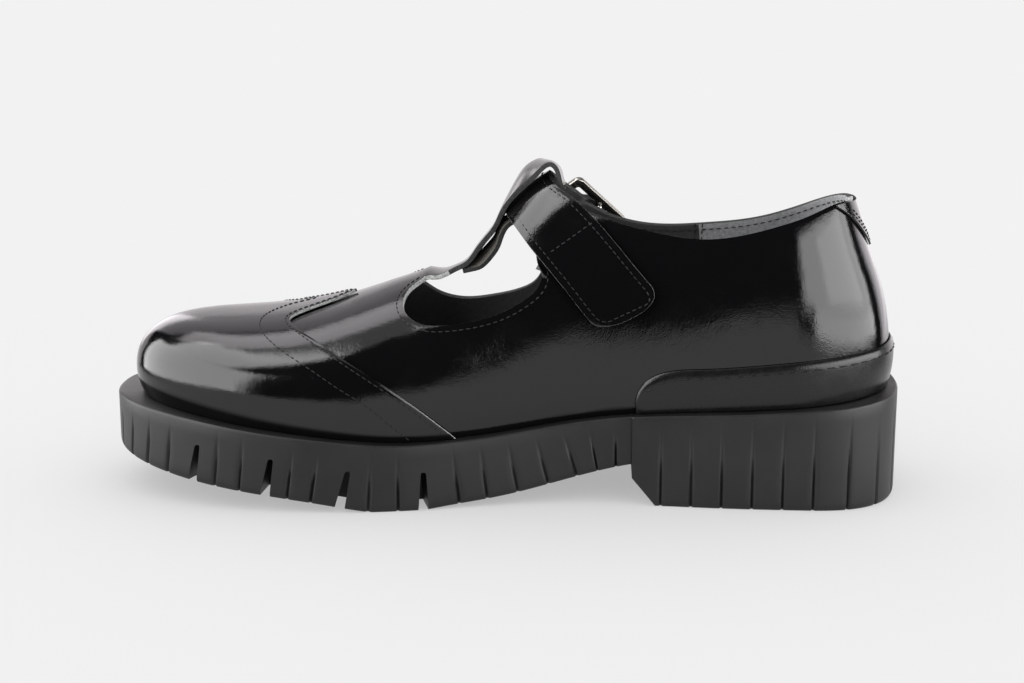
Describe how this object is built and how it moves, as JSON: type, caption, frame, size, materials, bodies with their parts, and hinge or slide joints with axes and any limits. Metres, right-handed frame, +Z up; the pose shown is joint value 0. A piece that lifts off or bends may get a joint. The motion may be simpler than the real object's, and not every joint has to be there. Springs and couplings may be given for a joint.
{
  "type": "t-strap shoe",
  "caption": "Low leather shoe with a wing-tip toe cap, a T-bar with side cut-outs, a buckled cross strap, a heel band and a lugged sole with a block heel.",
  "frame": {"origin": "centre of the bounding box's bottom face, on the floor", "axes": "+X from heel to toe, +Y to the wearer's left, which is the foot's inner side, +Z up"},
  "size_m": [0.274, 0.0975, 0.1142],
  "materials": {
    "sole_rubber": "matt",
    "lining_leather": "matt",
    "black_leather": "polished",
    "matt_leather": "matt",
    "buckle_metal": "dark satin"
  },
  "bodies": {
    "root": {"sole": "sole_rubber", "insole": "lining_leather", "upper": "black_leather", "toe_cap": "black_leather", "heel_rand": "matt_leather", "seam_tab": "black_leather", "cross_strap": "black_leather", "buckle_chape": "black_leather", "buckle_frame": "buckle_metal", "buckle_bar": "buckle_metal", "buckle_prong": "buckle_metal"}
  },
  "joints": []
}
